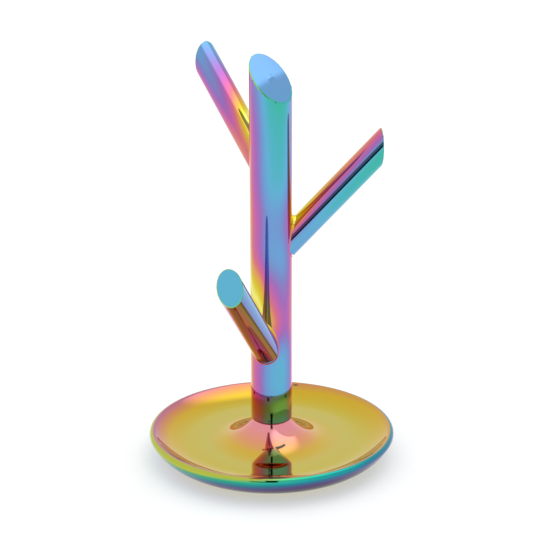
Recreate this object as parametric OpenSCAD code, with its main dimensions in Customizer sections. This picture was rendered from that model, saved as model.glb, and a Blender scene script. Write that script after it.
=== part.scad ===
// Ring tree: three round branches on an upright trunk that stands in a shallow dish.
// The origin is the centre of the underside, Z is up, and the middle branch leans along +X.

/* [Dish] */

// Outer radius of the dish over its lip
dish_r = 33; // [29:0.5:45]

// Height of the lip above the table
dish_h = 8; // [7.2:0.1:11]

// Height of the dish's flat floor above the table
floor_z = 4.6; // [4.1:0.1:5]

// Radius of the rounded lip, in section
lip_r = 1; // [0.6:0.1:1.2]

// Radius of the curve that the outside wall follows, in section
wall_sweep = 11.5; // [10:0.5:14]

// Radius of the curve from the floor up to the lip, in section
inner_sweep = 14; // [10:0.5:16]

// Radius of the curve from the floor up the hub, in section
hub_sweep = 14.5; // [10:0.5:16]

// Height of the hub's top face, where the trunk stands
hub_z = 10.8; // [9.8:0.1:14]

/* [Trunk] */

// Diameter of the trunk
trunk_d = 11; // [9.5:0.5:14]

// Height of the slanted top above the table, on the trunk's axis
trunk_top = 104; // [96:1:125]

// Slope of the slanted top, in degrees
top_slope = 45; // [30:1:50]

// Rounding of the trunk's bottom edge
trunk_edge = 0.6; // [0.3:0.1:0.8]

/* [Branches] */

// Diameter of a branch
branch_d = 7.2; // [6:0.1:8.6]

// Distance from the trunk's axis to the upper branch's cut end
upper_reach = 26.8; // [21:0.2:34]

// Distance from the trunk's axis to the middle branch's cut end
middle_reach = 29; // [23:0.2:36]

// Distance from the trunk's axis to the lower branch's cut end
lower_reach = 29.4; // [23:0.2:36]

// Lean of a branch from upright, in degrees
branch_lean = 45; // [40:1:50]

// Height at which the lower branch's axis meets the trunk's axis
lower_z = 27.9; // [24:0.1:34]

// Height at which the middle branch's axis meets the trunk's axis
middle_z = 55.8; // [46:0.1:62]

// Height at which the upper branch's axis meets the trunk's axis
upper_z = 77.7; // [72:0.1:84]

// Thickness of the braze bead around a branch's root
bead_t = 0.6; // [0.3:0.1:1]

/* [Fixings] */

// Thread diameter of the fixing screw
screw_d = 4; // [3:0.5:4.5]

// Thickness of the foot pad
pad_t = 1.6; // [1.2:0.1:2]

// Height of the dish's underside above the table, which the pad stands proud by
pad_proud = 0.4; // [0.2:0.1:0.8]

/* [Hidden] */

$fn = 96;
slip = 0.1;             // radial clearance of a spigot, a thread or a screw's head
joint = 0.04;           // film of filler between brazed faces
upper_turn = 120;       // direction in which each branch leans, about Z
middle_turn = 0;
lower_turn = 240;

trunk_r = trunk_d / 2;
branch_r = branch_d / 2;
screw_r = screw_d / 2;
far = 2 * (trunk_top + dish_r);

// section of the dish: each curve's centre as [radius, height]
lip_c_z = dish_h - lip_r;
wall_c = [
  dish_r - lip_r - sqrt(pow(wall_sweep - lip_r, 2) - pow(pad_proud + wall_sweep - lip_c_z, 2)),
  pad_proud + wall_sweep
];
lip_c = [dish_r - lip_r, lip_c_z];
inner_c = [
  lip_c.x - sqrt(pow(inner_sweep + lip_r, 2) - pow(floor_z + inner_sweep - lip_c_z, 2)),
  floor_z + inner_sweep
];
hub_top_r = trunk_r - trunk_edge;
hub_c = [
  hub_top_r + sqrt(pow(hub_sweep, 2) - pow(floor_z + hub_sweep - hub_z, 2)),
  floor_z + hub_sweep
];
lip_out = lip_c + (lip_c - wall_c) * 2 * lip_r / norm(lip_c - wall_c);
lip_in = lip_c + (inner_c - lip_c) * lip_r / norm(inner_c - lip_c);

// underside of the dish and the fixings in it
pad_r = wall_c.x - 1.4;
recess_r = pad_r + 0.4;
washer_r = screw_d * 1.1;
washer_t = 0.8;
head_r = screw_d * 0.85;
head_h = screw_d * 0.55;
counterbore_r = washer_r + 0.5;
counterbore_z = pad_t + head_h + washer_t + 0.4;
key_d = screw_d * 0.72;
spigot_r = screw_r + 1.3;
spigot_h = 1.5;
screw_top = hub_z + screw_d * 1.6;
tapped_top = screw_top + 1;

// stub on each branch's root that sits in a drilled hole in the trunk
stub_r = branch_r * 0.62;
stub_start = trunk_r * 0.35;

// Moves its children to a branch's root, with X turned the way the branch leans.
module at_root(root_z, turn) {
  rotate([0, 0, turn])
    translate([0, 0, root_z])
      children();
}

// Cylinder on a branch's axis, from a distance along it outwards.
module leaning_rod(r, start = 0) {
  rotate([0, branch_lean, 0])
    translate([0, 0, start])
      cylinder(h = far, r = r);
}

module dish_section() {
  intersection() {
    polygon([
      [0, pad_proud],
      [dish_r + 2, pad_proud],
      [dish_r + 2, lip_out.y],
      lip_out,
      lip_c,
      lip_in,
      inner_c,
      [hub_c.x, inner_c.y],
      [hub_c.x, hub_z],
      [0, hub_z]
    ]);
    difference() {
      union() {
        square([wall_c.x, inner_c.y]);
        translate(wall_c)
          circle(wall_sweep);
      }
      translate(hub_c)
        circle(hub_sweep);
      translate(inner_c)
        circle(inner_sweep);
      translate([hub_c.x, floor_z])
        square([inner_c.x - hub_c.x, far]);
    }
  }
  translate(lip_c)
    circle(lip_r);
}

// Shallow round dish with a central hub, hollowed underneath for the pad and the fixings.
module dish() {
  color("goldenrod")
    difference() {
      rotate_extrude()
        dish_section();
      cylinder(h = pad_t, r = recess_r);
      cylinder(h = counterbore_z, r = counterbore_r);
      cylinder(h = far, r = screw_r + slip);
      translate([0, 0, hub_z - spigot_h - slip])
        cylinder(h = far, r = spigot_r + slip);
    }
}

module trunk_section() {
  translate([0, hub_z + trunk_edge])
    square([trunk_r, trunk_top]);
  translate([0, hub_z])
    square([trunk_r - trunk_edge, trunk_edge]);
  translate([trunk_r - trunk_edge, hub_z + trunk_edge])
    circle(trunk_edge);
}

// Upright rod with a slanted top that rises towards the upper branch.
module trunk() {
  color("mediumturquoise")
    difference() {
      union() {
        rotate_extrude()
          intersection() {
            trunk_section();
            square(far);
          }
        translate([0, 0, hub_z - spigot_h])
          cylinder(h = spigot_h + trunk_edge, r = spigot_r);
      }
      rotate([0, 0, upper_turn])
        translate([0, 0, trunk_top])
          rotate([0, -top_slope, 0])
            translate([-far / 2, -far / 2, 0])
              cube(far);
      cylinder(h = tapped_top, r = screw_r + slip);
      drilling(upper_z, upper_turn);
      drilling(middle_z, middle_turn);
      drilling(lower_z, lower_turn);
    }
}

// Hole in the trunk for a branch's stub.
module drilling(root_z, turn) {
  at_root(root_z, turn)
    leaning_rod(stub_r + slip, stub_start - slip);
}

// Round rod cut off upright at its end and coped to the trunk at its root.
module branch(root_z, turn, reach) {
  at_root(root_z, turn)
    intersection() {
      union() {
        difference() {
          leaning_rod(branch_r);
          cylinder(h = far, r = trunk_r + joint, center = true);
        }
        leaning_rod(stub_r, stub_start);
      }
      translate([0, -far / 2, 0])
        cube([reach, far, far]);
    }
}

module upper_branch() {
  color("mediumorchid")
    branch(upper_z, upper_turn, upper_reach);
}

module middle_branch() {
  color("mediumvioletred")
    branch(middle_z, middle_turn, middle_reach);
}

module lower_branch() {
  color("peru")
    branch(lower_z, lower_turn, lower_reach);
}

// Bead of braze metal in the corner between a branch and the trunk.
module braze(root_z, turn) {
  at_root(root_z, turn)
    difference() {
      intersection() {
        leaning_rod(branch_r + bead_t);
        cylinder(h = far, r = trunk_r + bead_t, center = true);
      }
      cylinder(h = far, r = trunk_r + joint, center = true);
      leaning_rod(branch_r + joint);
    }
}

module upper_braze() {
  color("gold")
    braze(upper_z, upper_turn);
}

module middle_braze() {
  color("gold")
    braze(middle_z, middle_turn);
}

module lower_braze() {
  color("gold")
    braze(lower_z, lower_turn);
}

// Socket screw that comes up through the hub and pulls the trunk down on it.
module fixing_screw() {
  color("dimgray")
    difference() {
      union() {
        translate([0, 0, counterbore_z - washer_t - head_h])
          cylinder(h = head_h, r = head_r);
        translate([0, 0, counterbore_z - washer_t])
          cylinder(h = screw_top - counterbore_z + washer_t, r = screw_r);
      }
      translate([0, 0, counterbore_z - washer_t - head_h])
        cylinder(h = head_h * 0.6, d = key_d / cos(30), $fn = 6);
    }
}

// Flat washer under the screw's head.
module washer() {
  color("silver")
    translate([0, 0, counterbore_z - washer_t])
      difference() {
        cylinder(h = washer_t, r = washer_r);
        cylinder(h = washer_t, r = screw_r + slip);
      }
}

// Round pad that the dish stands on.
module foot_pad() {
  color("black")
    cylinder(h = pad_t, r = pad_r);
}

dish();
trunk();
upper_branch();
middle_branch();
lower_branch();
upper_braze();
middle_braze();
lower_braze();
fixing_screw();
washer();
foot_pad();
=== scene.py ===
import math

import bmesh
import bpy
from mathutils import Matrix, Vector


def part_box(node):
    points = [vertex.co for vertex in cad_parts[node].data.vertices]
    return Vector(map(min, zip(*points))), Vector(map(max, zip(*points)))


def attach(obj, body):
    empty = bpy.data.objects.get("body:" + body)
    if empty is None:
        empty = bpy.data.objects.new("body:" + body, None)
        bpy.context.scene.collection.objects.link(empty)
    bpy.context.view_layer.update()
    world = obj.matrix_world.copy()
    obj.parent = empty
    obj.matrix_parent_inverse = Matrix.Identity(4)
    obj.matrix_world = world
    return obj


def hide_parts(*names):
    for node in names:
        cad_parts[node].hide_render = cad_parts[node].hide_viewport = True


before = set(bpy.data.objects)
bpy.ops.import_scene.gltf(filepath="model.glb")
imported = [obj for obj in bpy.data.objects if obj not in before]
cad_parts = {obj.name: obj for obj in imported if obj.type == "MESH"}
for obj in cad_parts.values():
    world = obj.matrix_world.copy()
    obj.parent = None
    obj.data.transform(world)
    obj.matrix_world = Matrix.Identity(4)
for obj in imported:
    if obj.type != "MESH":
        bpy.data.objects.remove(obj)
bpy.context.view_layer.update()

mm = 0.001
up = Vector((0, 0, 1))

# what the pieces share, from the frame
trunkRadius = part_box("trunk")[1].x
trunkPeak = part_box("trunk")[1].z
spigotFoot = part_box("trunk")[0].z
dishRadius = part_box("dish")[1].x
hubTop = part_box("dish")[1].z
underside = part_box("dish")[0].z
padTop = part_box("foot_pad")[1].z
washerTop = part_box("washer")[1].z
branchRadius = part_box("middle_branch")[1].y
branchLean = math.radians(45)
branchTurns = {"upper_branch": 120, "middle_branch": 0, "lower_branch": 240}


def leanWay(branch):
    turn = math.radians(branchTurns[branch])
    return Vector((math.cos(turn), math.sin(turn), 0))


def branchReach(branch):  # from the trunk's axis to the branch's cut end
    way = leanWay(branch)
    low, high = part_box(branch)
    if abs(way.x) > abs(way.y):
        return (max(-low.x, high.x) - branchRadius * abs(way.y)) / abs(way.x)
    return (max(-low.y, high.y) - branchRadius * abs(way.x)) / abs(way.y)


def rootHeight(branch):  # height at which the branch's axis meets the trunk's
    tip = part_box(branch)[1].z - branchRadius / math.sin(branchLean)
    return tip - branchReach(branch) / math.tan(branchLean)


def branchSpace(branch):  # local Z runs out along the branch from the trunk's axis
    turn = Matrix.Rotation(math.radians(branchTurns[branch]), 4, "Z")
    return Matrix.Translation((0, 0, rootHeight(branch))) @ turn @ Matrix.Rotation(branchLean, 4, "Y")


# camera and light

studio = {
    "azimuth": -9.6,  # degrees, from the front towards the left
    "elevation": 18.55,
    "distance": 0.4358,
    "aim": (-0.0003, 0, 0.0528),
    "lens": 110.7,
    "roll": -0.19,
    "floorShade": (0.62, 0.62, 0.62),
    "floorGlow": 0.42,
}


def setCamera():
    camera = bpy.data.objects.new("camera", bpy.data.cameras.new("camera"))
    camera.data.lens = studio["lens"]
    camera.data.sensor_width = 36
    camera.data.clip_start = 0.01
    turned = Matrix.Rotation(math.radians(studio["azimuth"]), 4, "Z")
    tilted = Matrix.Rotation(math.radians(90 - studio["elevation"]), 4, "X")
    rolled = Matrix.Rotation(math.radians(studio["roll"]), 4, "Z")
    back = Matrix.Translation((0, 0, studio["distance"]))
    camera.matrix_world = Matrix.Translation(studio["aim"]) @ turned @ tilted @ back @ rolled
    bpy.context.collection.objects.link(camera)
    bpy.context.scene.camera = camera
    return camera


# shader maths

class Wire:
    def __init__(self, graph, socket):
        self.graph = graph
        self.socket = socket

    def math(self, operation, *values):
        return self.graph.math(operation, self, *values)

    def __add__(self, other):
        return self.math("ADD", other)

    def __radd__(self, other):
        return self.math("ADD", other)

    def __sub__(self, other):
        return self.math("SUBTRACT", other)

    def __rsub__(self, other):
        return self.graph.math("SUBTRACT", other, self)

    def __mul__(self, other):
        return self.math("MULTIPLY", other)

    def __rmul__(self, other):
        return self.math("MULTIPLY", other)

    def __truediv__(self, other):
        return self.math("DIVIDE", other)

    def __rtruediv__(self, other):
        return self.graph.math("DIVIDE", other, self)


class Graph:
    def __init__(self, tree):
        self.tree = tree
        tree.nodes.clear()

    def add(self, kind, settings=None, inputs=None, output=0):
        node = self.tree.nodes.new(kind)
        for name, value in (settings or {}).items():
            if name == "stops":
                self.setStops(node.color_ramp, value)
            else:
                setattr(node, name, value)
        for name, value in (inputs or {}).items():
            if isinstance(value, Wire):
                self.tree.links.new(value.socket, node.inputs[name])
            else:
                node.inputs[name].default_value = value
        return Wire(self, node.outputs[output]) if node.outputs else None

    def setStops(self, ramp, stops):
        while len(ramp.elements) < len(stops):
            ramp.elements.new(0.5)
        for element, (place, colour) in zip(ramp.elements, stops):
            element.position = place
            element.color = (*colour, 1)

    def math(self, operation, *values):
        return self.add("ShaderNodeMath", {"operation": operation}, dict(enumerate(values)))

    def dot(self, a, b):
        return self.add("ShaderNodeVectorMath", {"operation": "DOT_PRODUCT"}, {0: a, 1: b}, "Value")

    def distance(self, a, b):
        return self.add("ShaderNodeVectorMath", {"operation": "DISTANCE"}, {0: a, 1: b}, "Value")

    def objectPlace(self):
        return self.add("ShaderNodeTexCoord", output="Object")

    def objectNormal(self):
        return self.add("ShaderNodeTexCoord", output="Normal")

    def noise(self, place, scale, detail=2):
        return self.add("ShaderNodeTexNoise", None, {"Vector": place, "Scale": scale, "Detail": detail})

    def smooth(self, value, low, high):  # 0 below low, 1 above high
        settings = {"interpolation_type": "SMOOTHSTEP"}
        inputs = {"Value": value, "From Min": low, "From Max": high}
        return self.add("ShaderNodeMapRange", settings, inputs)

    def blend(self, amount, a, b):
        return self.add("ShaderNodeMix", {"data_type": "RGBA"}, {0: amount, 6: a, 7: b}, 2)

    def ramp(self, place, stops):
        return self.add("ShaderNodeValToRGB", {"stops": stops}, {"Fac": place})

    def hump(self, value, centre, radius):  # 1 at the centre, fading out round it
        near = self.distance(value, centre) / radius
        return self.math("POWER", math.e, near * near * -1)

    def finish(self, inputs):  # the one surface of a material
        surface = self.add("ShaderNodeBsdfPrincipled", None, inputs)
        self.add("ShaderNodeOutputMaterial", None, {"Surface": surface})

    def split(self, vector):
        first = self.add("ShaderNodeSeparateXYZ", None, {0: vector})
        return [Wire(self, socket) for socket in first.socket.node.outputs]


def newMaterial(name):
    material = bpy.data.materials.new(name)
    material.use_nodes = True
    return material, Graph(material.node_tree)


def shade(*screen):  # red, green and blue from 0 to 255 on screen, made linear
    return tuple(((part / 255 + 0.055) / 1.055) ** 2.4 for part in screen)


# coated metal: the colours that the film runs through, from its thinnest to its thickest; the near-white
# first stop is a painted highlight

filmAndHighlightColours = [
    # near white: a painted highlight, not a film colour; the palest colours lean towards it
    (0.00, shade(246, 244, 226)),
    (0.06, shade(232, 222, 110)),
    (0.11, shade(212, 198, 56)),
    (0.18, shade(214, 172, 60)),
    (0.25, shade(216, 146, 96)),
    (0.32, shade(208, 112, 122)),
    (0.40, shade(190, 100, 164)),
    (0.48, shade(156, 106, 180)),
    (0.56, shade(126, 130, 190)),
    (0.64, shade(108, 152, 204)),
    (0.72, shade(96, 170, 203)),
    (0.80, shade(76, 174, 182)),
    (0.87, shade(66, 176, 156)),
    (0.93, shade(110, 190, 110)),
    (1.00, shade(196, 206, 80)),
]
thinnest = 0.05  # past this the colours run back again


def coatedMetal(name, coat):
    material, graph = newMaterial(name)
    place = graph.objectPlace()
    normal = graph.objectNormal()
    step = graph.dot(normal, coat["toward"]) + graph.dot(place, coat["along"]) + coat["level"]
    if "bothWays" in coat:  # alike on the front and the back
        step = step + graph.math("ABSOLUTE", graph.dot(normal, coat["bothWays"]))
    if "twist" in coat:  # the sideways change grows with the way out along the piece
        gone = graph.dot(place, coat["twist"]) - coat["twist"].length * coat["twistStart"]
        step = step + graph.dot(normal, coat["twistWay"]) * gone
    # painted light: near the crotches the colour is pushed towards the pale end, a painted reflection of
    # the neighbouring parts and, on the fillets, a painted highlight
    for centre, radius, drop in coat.get("hollows", []):
        step = step - graph.hump(place, centre, radius) * drop
    for centre, radius, drop in coat.get("sides", []):
        step = step - graph.hump(normal, centre, radius) * drop
    step = step + (graph.noise(place, 60, 3) - 0.5) * coat["cloud"]
    folded = graph.math("ABSOLUTE", step - thinnest) + thinnest
    finishMetal(graph, graph.ramp(folded, filmAndHighlightColours), place, coat["roughness"])
    return material


def finishMetal(graph, colour, place, roughness):
    smear = graph.noise(place, 220, 4)
    rough = roughness + (smear - 0.5) * roughness
    graph.finish({"Base Color": colour, "Metallic": 1.0, "Roughness": rough})


# modelling helpers

def newPiece(name, mesh, materials, slot, *nodes):
    bmesh.ops.remove_doubles(mesh, verts=mesh.verts, dist=1e-7)
    bmesh.ops.recalc_face_normals(mesh, faces=mesh.faces)
    for face in mesh.faces:
        face.smooth = True
    for edge in mesh.edges:
        edge.smooth = len(edge.link_faces) == 2 and edge.calc_face_angle() < math.radians(40)
    data = bpy.data.meshes.new(name)
    mesh.to_mesh(data)
    mesh.free()
    for material in materials:
        data.materials.append(material)
    piece = bpy.data.objects.new(name, data)
    bpy.context.collection.objects.link(piece)
    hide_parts(*nodes)
    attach(piece, "root")
    print("made", name, len(data.polygons), "faces")
    return piece


class Section:  # an outline in the XZ plane, drawn by extruding its last vertex
    def __init__(self, radius, height):
        self.mesh = bmesh.new()
        self.first = self.last = self.mesh.verts.new((radius, 0, height))

    def lineTo(self, radius, height, parts=1):
        start = self.last.co.copy()
        for part in range(1, parts + 1):
            self.last = bmesh.ops.extrude_vert_indiv(self.mesh, verts=[self.last])["verts"][0]
            self.last.co = start.lerp((radius, 0, height), part / parts)

    def arcTo(self, centre, radius, height, steps):
        start = Vector((self.last.co.x - centre[0], self.last.co.z - centre[1]))
        end = Vector((radius - centre[0], height - centre[1]))
        drawn = bmesh.ops.spin(
            self.mesh, geom=[self.last], cent=(centre[0], 0, centre[1]), axis=(0, 1, 0),
            angle=start.angle_signed(end), steps=steps)
        self.last = [part for part in drawn["geom_last"] if isinstance(part, bmesh.types.BMVert)][0]

    def close(self):
        self.mesh.edges.new((self.last, self.first))

    def turn(self, steps):
        edges = list(self.mesh.edges)
        bmesh.ops.spin(
            self.mesh, geom=edges, cent=(0, 0, 0), axis=(0, 0, 1),
            angle=math.tau, steps=steps, use_merge=True)
        bmesh.ops.remove_doubles(self.mesh, verts=self.mesh.verts, dist=1e-7)
        return self.mesh


def cutEnd(mesh, point, normal, rounding, crown):
    # saws the rod off, rounds the sawn edge and gives the face a slight crown
    point = Vector(point)
    normal = Vector(normal).normalized()
    for depth in (6, 3, 1.5):  # rows of faces that keep the shading even up to the cut
        bisectWhole(mesh, point - normal * depth * rounding, normal)
    sawn = bmesh.ops.bisect_plane(
        mesh, geom=mesh.verts[:] + mesh.edges[:] + mesh.faces[:],
        plane_co=point, plane_no=normal, clear_outer=True)
    rim = [part for part in sawn["geom_cut"] if isinstance(part, bmesh.types.BMEdge)]
    face = bmesh.ops.edgeloop_fill(mesh, edges=rim)["faces"][0]
    rounded = bmesh.ops.bevel(
        mesh, geom=list(face.edges), offset=rounding, offset_type="OFFSET", affect="EDGES",
        segments=8, profile=0.5, material=-1)
    for part in rounded["faces"]:
        part.material_index = 2
    face = max(mesh.faces, key=lambda part: (len(part.verts), part.normal.dot(normal)))
    crownFace(mesh, face, normal, crown)


def bisectWhole(mesh, point, normal):
    bmesh.ops.bisect_plane(
        mesh, geom=mesh.verts[:] + mesh.edges[:] + mesh.faces[:], plane_co=point, plane_no=normal)


def crownFace(mesh, face, normal, crown, rings=12):
    centre = face.calc_center_median()
    edges = list(face.edges)
    bmesh.ops.delete(mesh, geom=[face], context="FACES_ONLY")
    spread = 1.0
    for ring in range(1, rings + 1):
        target = math.cos(math.pi / 2 * ring / rings)
        grown = bmesh.ops.extrude_edge_only(mesh, edges=edges)["geom"]
        verts = [part for part in grown if isinstance(part, bmesh.types.BMVert)]
        around = set(verts)
        for part in grown:
            if isinstance(part, bmesh.types.BMFace):
                part.material_index = 1
        grownEdges = [part for part in grown if isinstance(part, bmesh.types.BMEdge)]
        edges = [edge for edge in grownEdges if set(edge.verts) <= around]
        if ring == rings:
            bmesh.ops.pointmerge(mesh, verts=verts, merge_co=centre + normal * crown)
            break
        bmesh.ops.scale(mesh, vec=[target / spread] * 3, space=Matrix.Translation(-centre), verts=verts)
        lift = crown * (spread ** 2 - target ** 2)
        bmesh.ops.translate(mesh, vec=normal * lift, verts=verts)
        centre = centre + normal * lift
        spread = target


# dish

dishShape = {
    "lipHeight": 8 * mm,
    "lipRadius": 1 * mm,
    "floorHeight": 4.6 * mm,
    "wallSweep": 11.5 * mm,
    "innerSweep": 14 * mm,
    "hubSweep": 14.5 * mm,
    "hubShoulder": 0.6 * mm,  # how far the hub's top is inside the trunk's side
    "counterbore": 4.9 * mm,
    "socket": 3.4 * mm,
    "screwHole": 2.1 * mm,
    "recessEdge": 1.0 * mm,  # from the recess's wall to the foot's edge
    "soften": 0.15 * mm,  # rounding of the recess's lower edge
    "slip": 0.1 * mm,  # below the trunk's spigot
    "steps": 256,
}


def arcReach(sweep, height):  # how far out an arc of this radius is at this height from its centre
    return math.sqrt(sweep ** 2 - height ** 2)


def makeDish(materials):
    shape = dishShape
    lip = (dishRadius - shape["lipRadius"], shape["lipHeight"] - shape["lipRadius"])
    wallHeight = underside + shape["wallSweep"]
    wall = (lip[0] - arcReach(shape["wallSweep"] - shape["lipRadius"], wallHeight - lip[1]), wallHeight)
    innerHeight = shape["floorHeight"] + shape["innerSweep"]
    inner = (lip[0] - arcReach(shape["innerSweep"] + shape["lipRadius"], innerHeight - lip[1]), innerHeight)
    hubEdge = trunkRadius - shape["hubShoulder"]
    hubHeight = shape["floorHeight"] + shape["hubSweep"]
    hub = (hubEdge + arcReach(shape["hubSweep"], hubHeight - hubTop), hubHeight)
    outward = (Vector(lip) - Vector(wall)).normalized() * shape["lipRadius"]
    inward = (Vector(inner) - Vector(lip)).normalized() * shape["lipRadius"]
    recess = wall[0] - shape["recessEdge"]
    soften = shape["soften"]
    socketFloor = spigotFoot - shape["slip"]

    section = Section(shape["screwHole"], washerTop)
    section.lineTo(shape["counterbore"], washerTop)
    section.lineTo(shape["counterbore"], padTop)
    section.lineTo(recess, padTop)
    section.lineTo(recess, underside + soften)
    section.arcTo((recess + soften, underside + soften), recess + soften, underside, 4)
    section.lineTo(wall[0], underside, 3)
    section.arcTo(wall, lip[0] + outward.x, lip[1] + outward.y, 28)
    section.arcTo(lip, lip[0], lip[1] + shape["lipRadius"], 10)
    section.arcTo(lip, lip[0] + inward.x, lip[1] + inward.y, 6)
    section.arcTo(inner, inner[0], shape["floorHeight"], 24)
    section.lineTo(hub[0], shape["floorHeight"], 7)
    section.arcTo(hub, hubEdge, hubTop, 32)
    section.lineTo(shape["socket"], hubTop)
    section.lineTo(shape["socket"], socketFloor)
    section.lineTo(shape["screwHole"], socketFloor)
    section.close()
    mesh = section.turn(shape["steps"])
    return newPiece("dishBowl", mesh, materials, "dish", "dish")


# trunk

trunkShape = {
    "edge": 0.6 * mm,
    "spigot": 3.3 * mm,
    "tapping": 2.1 * mm,
    "tappingTop": 17.8 * mm,
    "topSlope": 45,  # degrees
    "topRounding": 0.3 * mm,
    "topCrown": 0.12 * mm,
    "steps": 192,
}


def makeTrunk(materials):
    shape = trunkShape
    edge = shape["edge"]
    section = Section(0, shape["tappingTop"])
    section.lineTo(shape["tapping"], shape["tappingTop"])
    section.lineTo(shape["tapping"], spigotFoot)
    section.lineTo(shape["spigot"], spigotFoot)
    section.lineTo(shape["spigot"], hubTop)
    section.lineTo(trunkRadius - edge, hubTop)
    section.arcTo((trunkRadius - edge, hubTop + edge), trunkRadius, hubTop + edge, 8)
    section.lineTo(trunkRadius, hubTop + 2 * edge)
    section.lineTo(trunkRadius, trunkPeak + 2 * mm, 40)
    mesh = section.turn(shape["steps"])
    slope = math.radians(shape["topSlope"])
    rise = leanWay("upper_branch")
    middle = up * (trunkPeak - trunkRadius * math.tan(slope))
    face = up * math.cos(slope) - rise * math.sin(slope)
    cutEnd(mesh, middle, face, shape["topRounding"], shape["topCrown"])
    return newPiece("trunkRod", mesh, materials, "trunk", "trunk")


# branches

branchShape = {
    "stub": 2.2 * mm,
    "stubStart": 1.9 * mm,
    "shoulder": 5.0 * mm,  # where the full rod starts, inside the trunk
    "rounding": 0.22 * mm,
    "crown": 0.08 * mm,
    "steps": 128,
}


def makeBranch(branch, materials):
    shape = branchShape
    section = Section(0, shape["stubStart"])
    section.lineTo(shape["stub"], shape["stubStart"])
    section.lineTo(shape["stub"], shape["shoulder"])
    section.lineTo(branchRadius, shape["shoulder"])
    section.lineTo(branchRadius, 2 * branchReach(branch), 40)
    mesh = section.turn(shape["steps"])
    bmesh.ops.transform(mesh, matrix=branchSpace(branch), verts=mesh.verts)
    way = leanWay(branch)
    reach = branchReach(branch)
    end = way * reach + up * (rootHeight(branch) + reach / math.tan(branchLean))
    cutEnd(mesh, end, way, shape["rounding"], shape["crown"])
    return newPiece(branch.replace("_b", "B") + "Rod", mesh, materials, "branch", branch)


# braze fillets: a ball rolls round the corner between a branch and the trunk

brazeShape = {"radius": 0.6 * mm, "sink": 0.9, "steps": 96, "segments": 14}


def makeBraze(branch, node, material):
    shape = brazeShape
    ball = shape["radius"]
    mesh = bmesh.new()
    loops = []
    for step in range(shape["steps"]):
        angle = math.tau * step / shape["steps"]
        side = (branchRadius + ball) * math.sin(angle)
        lift = (branchRadius + ball) * math.cos(angle)
        out = math.sqrt((trunkRadius + ball) ** 2 - side ** 2)
        run = (out + lift * math.cos(branchLean)) / math.sin(branchLean)
        centre = Vector((out, side, run * math.cos(branchLean) + lift * math.sin(branchLean)))
        trunkWay = -Vector((out, side, 0)).normalized()
        downhill = Vector((math.cos(branchLean), 0, -math.sin(branchLean)))
        inward = downhill * math.cos(angle) - Vector((0, math.sin(angle), 0))
        start = mesh.verts.new(centre + trunkWay * ball)
        swept = bmesh.ops.spin(
            mesh, geom=[start], cent=centre, axis=trunkWay.cross(inward),
            angle=trunkWay.angle(inward), steps=shape["segments"])
        finish = [part for part in swept["geom_last"] if isinstance(part, bmesh.types.BMVert)][0]
        corner = mesh.verts.new(centre + (trunkWay + inward) * ball * shape["sink"])
        mesh.edges.new((finish, corner))
        mesh.edges.new((corner, start))
        loop = [edge for edge in mesh.edges if not edge.tag]
        for edge in loop:
            edge.tag = True
        loops.append(loop)
    for loop, following in zip(loops, loops[1:] + loops[:1]):
        bmesh.ops.bridge_loops(mesh, edges=loop + following)
    turn = Matrix.Rotation(math.radians(branchTurns[branch]), 4, "Z")
    place = Matrix.Translation((0, 0, rootHeight(branch))) @ turn
    bmesh.ops.transform(mesh, matrix=place, verts=mesh.verts)
    return newPiece(node.replace("_b", "B") + "Fillet", mesh, [material], "braze", node)


# foot pad

padShape = {"edge": 0.35 * mm, "steps": 160}


def makePad(material):
    low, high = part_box("foot_pad")
    edge = padShape["edge"]
    section = Section(0, high.z)
    section.lineTo(high.x, high.z, 6)
    section.lineTo(high.x, low.z + edge)
    section.arcTo((high.x - edge, low.z + edge), high.x - edge, low.z, 5)
    section.lineTo(0, low.z, 12)
    mesh = section.turn(padShape["steps"])
    return newPiece("footPadDisc", mesh, [material], "foot_pad", "foot_pad")


def foamRubber():
    material, graph = newMaterial("foamRubber")
    place = graph.objectPlace()
    cells = graph.add("ShaderNodeTexVoronoi", None, {"Vector": place, "Scale": 1600.0})
    cloud = graph.noise(place, 300, 3)
    colour = graph.blend(cloud, (0.012, 0.012, 0.013, 1), (0.03, 0.03, 0.032, 1))
    bump = graph.add("ShaderNodeBump", None, {"Strength": 0.6, "Distance": 0.0003, "Height": cells})
    graph.finish({"Base Color": colour, "Roughness": 0.82 + cloud * 0.1, "Normal": bump})
    return material


def zincPlate(name, tint):
    material, graph = newMaterial(name)
    cloud = graph.noise(graph.objectPlace(), 900, 4)
    dark = tuple(part * 0.7 for part in tint)
    colour = graph.blend(cloud, (*dark, 1), (*tint, 1))
    graph.finish({"Base Color": colour, "Metallic": 1.0, "Roughness": 0.3 + cloud * 0.2})
    return material


# how the film lies on each piece

def crotch(branch):  # the point where a branch's upper side meets the trunk
    height = rootHeight(branch) + trunkRadius / math.tan(branchLean) + branchRadius / math.sin(branchLean)
    return leanWay(branch) * trunkRadius + up * height


def seen(right, front, rise=0.0):  # a direction set out from the camera's side: right, front, up
    turn = math.radians(studio["azimuth"])
    return Matrix.Rotation(turn, 3, "Z") @ Vector((right, -front, rise))


def branchWay(branch):
    return leanWay(branch) * math.sin(branchLean) + up * math.cos(branchLean)


def branchSides(branch):  # directions square to the branch: to its right and towards the front
    axis = branchWay(branch)
    lift = math.radians(studio["elevation"])
    front = seen(0, math.cos(lift), math.sin(lift))
    front = (front - axis * front.dot(axis)).normalized()
    right = front.cross(axis)
    return (right if right.dot(seen(1, 0)) > 0 else -right), front


def newFilm(level, toward, along=(0, 0, 0), **more):
    return {"level": level, "toward": toward, "along": along, "cloud": 0.02, "roughness": 0.05, **more}


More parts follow.
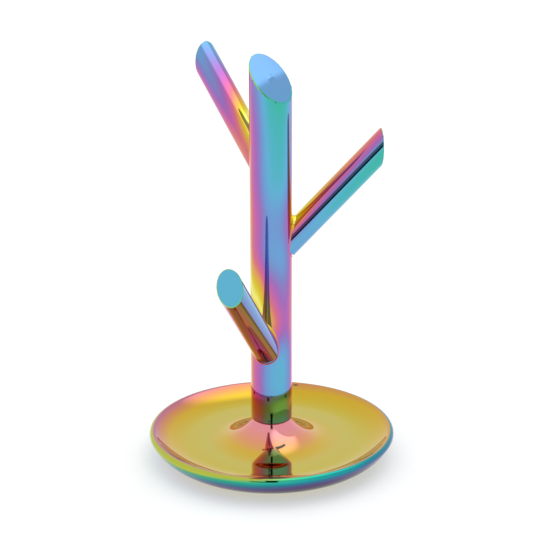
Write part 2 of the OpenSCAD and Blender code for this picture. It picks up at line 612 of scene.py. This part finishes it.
def branchFilm(branch, root, run, right, front, twist=0, hollows=(), sides=()):
    # root is the film at the branch's root, and run and twist are changes per metre along it
    toRight, toFront = branchSides(branch)
    axis = branchWay(branch)
    start = axis.z * rootHeight(branch)
    return newFilm(
        root - run * start, toRight * right + toFront * front, axis * run,
        twistWay=toRight, twistStart=start, twist=axis * twist,
        # painted reflection: the branch is paler near its crotch with the trunk
        hollows=[(crotch(branch), radius, drop) for radius, drop in hollows],
        sides=[(toRight * side[0] + toFront * side[1], width, drop) for side, width, drop in sides])


film = {
    "trunk": newFilm(
        0.11, seen(0.09, 0), (0, 0, 2.9), bothWays=seen(0, 0.52), cloud=0.015, roughness=0.045,
        # painted reflection of the branches: paler near each crotch and in a patch above the lower branch's
        # crotch
        hollows=[
            (crotch("lower_branch"), 6.5 * mm, 0.45),
            (crotch("middle_branch"), 9.9 * mm, 0.34),
            (crotch("upper_branch"), 18 * mm, 0.16),
            (seen(-2.3, 5.0) * mm + up * 48 * mm, 8.5 * mm, 0.36)],
        sides=[(seen(-0.57, 0.82), 0.38, 0.09), (seen(0.64, 0.77), 0.40, -0.06)]),
    "upper_branch": branchFilm(
        "upper_branch", 0.03, 13.0, -0.36, -0.05, 13.9,
        [(9.9 * mm, 0.16)], [((-0.39, 0.92), 0.64, -0.22)]),
    "middle_branch": branchFilm(
        "middle_branch", 0.36, 4.0, 0.28, 0.12, 0,
        [(8 * mm, 0.1)], [((0.35, 0.94), 0.45, -0.12), ((-0.6, 0.8), 0.5, 0.07)]),
    "lower_branch": branchFilm(
        "lower_branch", 0.45, 1.5, 0.20, 0.0, 0,
        [(5 * mm, 0.10)], [((-0.75, 0.65), 0.5, -0.08)]),
    "cut": newFilm(0.84, (0, 0, 0), (0, 0, -1.8)),
    "edge": newFilm(0.91, seen(-0.14, 0), roughness=0.06),
    "fillet": newFilm(
        0.26, seen(0.08, 0.1, -0.05), cloud=0.03, roughness=0.06,
        # a painted pale highlight at each crotch
        hollows=[(crotch(branch), 4 * mm, 0.3) for branch in branchTurns]),
}

dishFilm = {
    "roughness": 0.05,
    "lean": 0.10,  # how far the colours shift from the dish's middle to its right side
    "insideShare": 0.5,  # of the lean
    "outsideShare": 3,
    "cloud": 0.04,
    "wallStretch": 1.25,  # the outside colours run over the wall's upper part
    "wallStart": 0.28,
    "turnOver": (0.74, 0.80),  # radius from which outward faces count as the outside
    "outward": (0.1, 0.6),
    "inside": [  # by radius over the dish's radius
        (0.00, shade(222, 140, 150)),
        (0.18, shade(224, 142, 150)),
        (0.28, shade(220, 150, 110)),
        (0.38, shade(208, 172, 66)),
        (0.56, shade(194, 180, 76)),
        (0.72, shade(196, 178, 62)),
        (0.88, shade(204, 168, 50)),
        (0.95, shade(202, 134, 90)),
        (1.00, shade(184, 110, 140))],
    "outside": [  # up the wall, with the lip at about 1; the dark lowest stops are partly the film's purple and partly painted shade at the wall's foot
        (0.00, shade(56, 44, 66)),
        (0.20, shade(64, 46, 92)),
        (0.38, shade(92, 60, 124)),
        (0.50, shade(84, 92, 150)),
        (0.62, shade(46, 126, 152)),
        (0.78, shade(34, 166, 158)),
        (0.90, shade(66, 178, 124)),
        (1.00, shade(178, 186, 72))],
}


def dishCoat():
    material, graph = newMaterial("dishCoat")
    place = graph.objectPlace()
    x, y, z = graph.split(place)
    radius = graph.math("SQRT", x * x + y * y) / dishRadius
    cloud = (graph.noise(place, 60, 3) - 0.5) * dishFilm["cloud"]
    lean = graph.dot(place, seen(dishFilm["lean"] / dishRadius, 0)) + cloud
    inside = graph.ramp(radius - lean * dishFilm["insideShare"], dishFilm["inside"])
    height = z / dishShape["lipHeight"] * dishFilm["wallStretch"] - dishFilm["wallStart"]
    # painted shade: the outside colours darken towards the foot of the wall
    outside = graph.ramp(height - lean * dishFilm["outsideShare"], dishFilm["outside"])
    outward = graph.dot(graph.objectNormal(), place) / (radius * dishRadius)
    rim = graph.smooth(radius, *dishFilm["turnOver"]) * graph.smooth(outward, *dishFilm["outward"])
    finishMetal(graph, graph.blend(rim, inside, outside), place, dishFilm["roughness"])
    return material


# studio

def whiteFloor():
    mesh = bmesh.new()
    bmesh.ops.create_circle(mesh, cap_ends=True, segments=96, radius=6)
    data = bpy.data.meshes.new("floor")
    mesh.to_mesh(data)
    mesh.free()
    material, graph = newMaterial("floorPaper")
    grain = graph.noise(graph.objectPlace(), 700, 2)
    tone = studio["floorShade"]
    colour = graph.blend(grain, (*tone, 1), (*(part * 0.995 for part in tone), 1))
    graph.finish({
        "Base Color": colour, "Roughness": 0.9, "Specular IOR Level": 0.1,
        "Emission Color": (0.96, 1, 1, 1), "Emission Strength": studio["floorGlow"]})
    data.materials.append(material)
    floor = bpy.data.objects.new("floor", data)
    bpy.context.collection.objects.link(floor)


# each pair but the slant is where a fade starts and where it ends
room = {
    "level": 1.0,
    "panelLight": 1.8,  # over the level
    "gap": (0.07, 0.10),  # sideways from straight behind the camera
    "gapTop": (0.8, 0.86),
    "gapDark": 0.97,
    "openingLeft": (-0.36, -0.28),
    "openingRight": (0.04, 0.10),
    "openingFoot": (-0.02, 0.02),
    "openingTop": (0.40, 0.46),
    "openingDark": 0.75,
    "panelLeft": (-0.15, 0.2),  # over the height, as for a ceiling at height 1
    "panelFront": (-0.75, -0.4),
    "panelBack": (0.3, 0.8),
    "panelSlant": (0.88, -0.48),  # the way that its sharp edge faces
    "panelEdge": (0.555, 0.58),
}


def lightRoom():
    world = bpy.data.worlds.new("studio")
    bpy.context.scene.world = world
    world.use_nodes = True
    graph = Graph(world.node_tree)
    x, y, z = graph.split(graph.add("ShaderNodeTexCoord", output="Generated"))
    turn = math.radians(studio["azimuth"])
    across = x * math.cos(turn) + y * math.sin(turn)
    ahead = y * math.cos(turn) - x * math.sin(turn)
    behind = 1 - graph.smooth(ahead, -0.1, 0.1)
    # a narrow dark gap between the two side walls, behind the camera
    gap = 1 - graph.smooth(graph.math("ABSOLUTE", across), *room["gap"])
    walls = 1 - gap * behind * (1 - graph.smooth(z, *room["gapTop"])) * room["gapDark"]
    # a wider dim opening, low down beside it
    low = graph.smooth(z, *room["openingFoot"]) * (1 - graph.smooth(z, *room["openingTop"]))
    wide = graph.smooth(across, *room["openingLeft"]) * (1 - graph.smooth(across, *room["openingRight"]))
    walls = walls * (1 - wide * low * behind * room["openingDark"])
    # a lit ceiling panel over the right side
    rise = graph.math("MAXIMUM", z, 0.05)
    slant = (across * room["panelSlant"][0] + ahead * room["panelSlant"][1]) / rise
    wide = graph.smooth(across / rise, *room["panelLeft"]) * (1 - graph.smooth(slant, *room["panelEdge"]))
    far = ahead / rise
    deep = graph.smooth(far, *room["panelFront"]) * (1 - graph.smooth(far, *room["panelBack"]))
    bright = walls + wide * deep * (room["panelLight"] - 1)
    inputs = {"Color": (1, 1, 1, 1), "Strength": bright * room["level"]}
    back = graph.add("ShaderNodeBackground", None, inputs)
    graph.add("ShaderNodeOutputWorld", None, {"Surface": back})


print("room")
bpy.context.scene.view_settings.view_transform = "Standard"
setCamera()
whiteFloor()
lightRoom()

print("pieces")
cutCoat = coatedMetal("cutCoat", film["cut"])
edgeCoat = coatedMetal("edgeCoat", film["edge"])
filletCoat = coatedMetal("filletCoat", film["fillet"])
makeDish([dishCoat()])
makeTrunk([coatedMetal("trunkCoat", film["trunk"]), cutCoat, edgeCoat])
for branch in branchTurns:
    makeBranch(branch, [coatedMetal(branch + "Coat", film[branch]), cutCoat, edgeCoat])
    makeBraze(branch, branch.replace("branch", "braze"), filletCoat)
makePad(foamRubber())
for node, tint in (("fixing_screw", (0.5, 0.5, 0.52)), ("washer", (0.62, 0.62, 0.6))):
    part = bpy.data.objects[node]
    part.material_slots[0].material = zincPlate(node + "Zinc", tint)

print("done")
